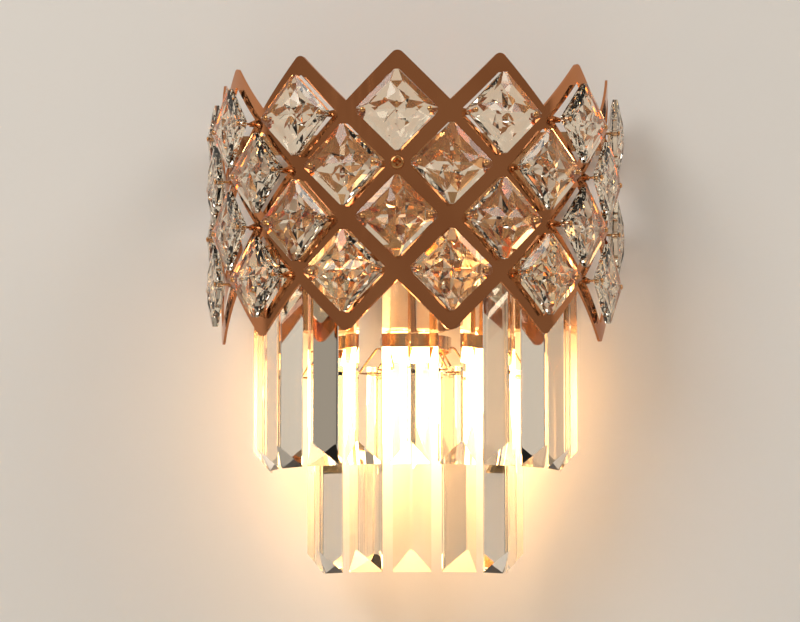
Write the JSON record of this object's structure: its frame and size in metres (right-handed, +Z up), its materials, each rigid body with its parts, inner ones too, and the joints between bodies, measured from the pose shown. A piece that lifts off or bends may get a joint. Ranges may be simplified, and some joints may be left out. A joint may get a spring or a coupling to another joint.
{
  "type": "crystal wall sconce",
  "caption": "Half-round wall light: a diamond lattice band set with square faceted crystals over two tiers of hanging crystal bars on hoops around lamps.",
  "frame": {"origin": "middle of the wall bracket's wall face, which is the middle of the back plate's open side", "axes": "+Y into the wall, -Y to the room, +Z up, +X to the right for someone facing the wall"},
  "size_m": [0.253, 0.163, 0.2982],
  "materials": {
    "warm_gold": "polished, warm copper-gold plating",
    "crystal": "clear, cut and polished",
    "small_gold": "polished plating on pins, clips and screws",
    "back_steel": "zinc plated",
    "holder_white": "white glazed",
    "lamp_opal": "opal, lit",
    "lamp_cap": "plain shell",
    "terminal": "moulded",
    "lead": "sleeved lead"
  },
  "bodies": {
    "frame": {"back_plate": "warm_gold", "band_nuts": "small_gold", "band_screws": "small_gold", "bracket_studs": "back_steel", "cap_nuts": "small_gold", "cross_arm": "warm_gold", "crystal_pins": "small_gold", "crystals_row_1": "crystal", "crystals_row_2": "crystal", "crystals_row_3": "crystal", "crystals_row_4": "crystal", "earth_screw": "back_steel", "front_arm": "warm_gold", "holder_leads": "lead", "lamp_bracket": "warm_gold", "lamp_caps": "lamp_cap", "lamp_glasses": "lamp_opal", "lamp_holders": "holder_white", "lattice_band": "warm_gold", "lower_hoop": "warm_gold", "terminal_block": "terminal", "upper_hoop": "warm_gold", "wall_bracket": "back_steel"},
    "upper_pendant_01": {"upper_bar_01": "crystal", "upper_clip_01": "small_gold"},
    "upper_pendant_02": {"upper_bar_02": "crystal", "upper_clip_02": "small_gold"},
    "upper_pendant_03": {"upper_bar_03": "crystal", "upper_clip_03": "small_gold"},
    "upper_pendant_04": {"upper_bar_04": "crystal", "upper_clip_04": "small_gold"},
    "upper_pendant_05": {"upper_bar_05": "crystal", "upper_clip_05": "small_gold"},
    "upper_pendant_06": {"upper_bar_06": "crystal", "upper_clip_06": "small_gold"},
    "upper_pendant_07": {"upper_bar_07": "crystal", "upper_clip_07": "small_gold"},
    "upper_pendant_08": {"upper_bar_08": "crystal", "upper_clip_08": "small_gold"},
    "upper_pendant_09": {"upper_bar_09": "crystal", "upper_clip_09": "small_gold"},
    "upper_pendant_10": {"upper_bar_10": "crystal", "upper_clip_10": "small_gold"},
    "upper_pendant_11": {"upper_bar_11": "crystal", "upper_clip_11": "small_gold"},
    "lower_pendant_01": {"lower_bar_01": "crystal", "lower_clip_01": "small_gold"},
    "lower_pendant_02": {"lower_bar_02": "crystal", "lower_clip_02": "small_gold"},
    "lower_pendant_03": {"lower_bar_03": "crystal", "lower_clip_03": "small_gold"},
    "lower_pendant_04": {"lower_bar_04": "crystal", "lower_clip_04": "small_gold"},
    "lower_pendant_05": {"lower_bar_05": "crystal", "lower_clip_05": "small_gold"},
    "lower_pendant_06": {"lower_bar_06": "crystal", "lower_clip_06": "small_gold"},
    "lower_pendant_07": {"lower_bar_07": "crystal", "lower_clip_07": "small_gold"}
  },
  "joints": [
    {"name": "upper_swing_01", "type": "hinge", "parent": "frame", "child": "upper_pendant_01", "pos_m": [-0.09058, -0.04125, -0.0137], "axis": [-0.0523, 0.9986, 0], "range_deg": [-5, 15]},
    {"name": "upper_swing_02", "type": "hinge", "parent": "frame", "child": "upper_pendant_02", "pos_m": [-0.08468, -0.069, -0.0137], "axis": [-0.3584, 0.9336, 0], "range_deg": [-5, 15]},
    {"name": "upper_swing_03", "type": "hinge", "parent": "frame", "child": "upper_pendant_03", "pos_m": [-0.07049, -0.09358, -0.0137], "axis": [-0.6293, 0.7771, 0], "range_deg": [-5, 15]},
    {"name": "upper_swing_04", "type": "hinge", "parent": "frame", "child": "upper_pendant_04", "pos_m": [-0.0494, -0.11257, -0.0137], "axis": [-0.8387, 0.5446, 0], "range_deg": [-5, 15]},
    {"name": "upper_swing_05", "type": "hinge", "parent": "frame", "child": "upper_pendant_05", "pos_m": [-0.02347, -0.12411, -0.0137], "axis": [-0.9659, 0.2588, 0], "range_deg": [-5, 15]},
    {"name": "upper_swing_06", "type": "hinge", "parent": "frame", "child": "upper_pendant_06", "pos_m": [0.00475, -0.12708, -0.0137], "axis": [-0.9986, -0.0523, 0], "range_deg": [-5, 15]},
    {"name": "upper_swing_07", "type": "hinge", "parent": "frame", "child": "upper_pendant_07", "pos_m": [0.0325, -0.12118, -0.0137], "axis": [-0.9336, -0.3584, 0], "range_deg": [-5, 15]},
    {"name": "upper_swing_08", "type": "hinge", "parent": "frame", "child": "upper_pendant_08", "pos_m": [0.05708, -0.10699, -0.0137], "axis": [-0.7771, -0.6293, 0], "range_deg": [-5, 15]},
    {"name": "upper_swing_09", "type": "hinge", "parent": "frame", "child": "upper_pendant_09", "pos_m": [0.07607, -0.0859, -0.0137], "axis": [-0.5446, -0.8387, 0], "range_deg": [-5, 15]},
    {"name": "upper_swing_10", "type": "hinge", "parent": "frame", "child": "upper_pendant_10", "pos_m": [0.08761, -0.05998, -0.0137], "axis": [-0.2588, -0.9659, 0], "range_deg": [-5, 15]},
    {"name": "upper_swing_11", "type": "hinge", "parent": "frame", "child": "upper_pendant_11", "pos_m": [0.09058, -0.03175, -0.0137], "axis": [0.0523, -0.9986, 0], "range_deg": [-5, 15]},
    {"name": "lower_swing_01", "type": "hinge", "parent": "frame", "child": "lower_pendant_01", "pos_m": [-0.05792, -0.03954, -0.075], "axis": [-0.0523, 0.9986, 0], "range_deg": [-3, 15]},
    {"name": "lower_swing_02", "type": "hinge", "parent": "frame", "child": "lower_pendant_02", "pos_m": [-0.04864, -0.06809, -0.075], "axis": [-0.5446, 0.8387, 0], "range_deg": [-3, 15]},
    {"name": "lower_swing_03", "type": "hinge", "parent": "frame", "child": "lower_pendant_03", "pos_m": [-0.02633, -0.08818, -0.075], "axis": [-0.891, 0.454, 0], "range_deg": [-3, 15]},
    {"name": "lower_swing_04", "type": "hinge", "parent": "frame", "child": "lower_pendant_04", "pos_m": [0.00303, -0.09442, -0.075], "axis": [-0.9986, -0.0523, 0], "range_deg": [-3, 15]},
    {"name": "lower_swing_05", "type": "hinge", "parent": "frame", "child": "lower_pendant_05", "pos_m": [0.03159, -0.08514, -0.075], "axis": [-0.8387, -0.5446, 0], "range_deg": [-3, 15]},
    {"name": "lower_swing_06", "type": "hinge", "parent": "frame", "child": "lower_pendant_06", "pos_m": [0.05168, -0.06283, -0.075], "axis": [-0.454, -0.891, 0], "range_deg": [-3, 15]},
    {"name": "lower_swing_07", "type": "hinge", "parent": "frame", "child": "lower_pendant_07", "pos_m": [0.05792, -0.03347, -0.075], "axis": [0.0523, -0.9986, 0], "range_deg": [-3, 15]}
  ]
}
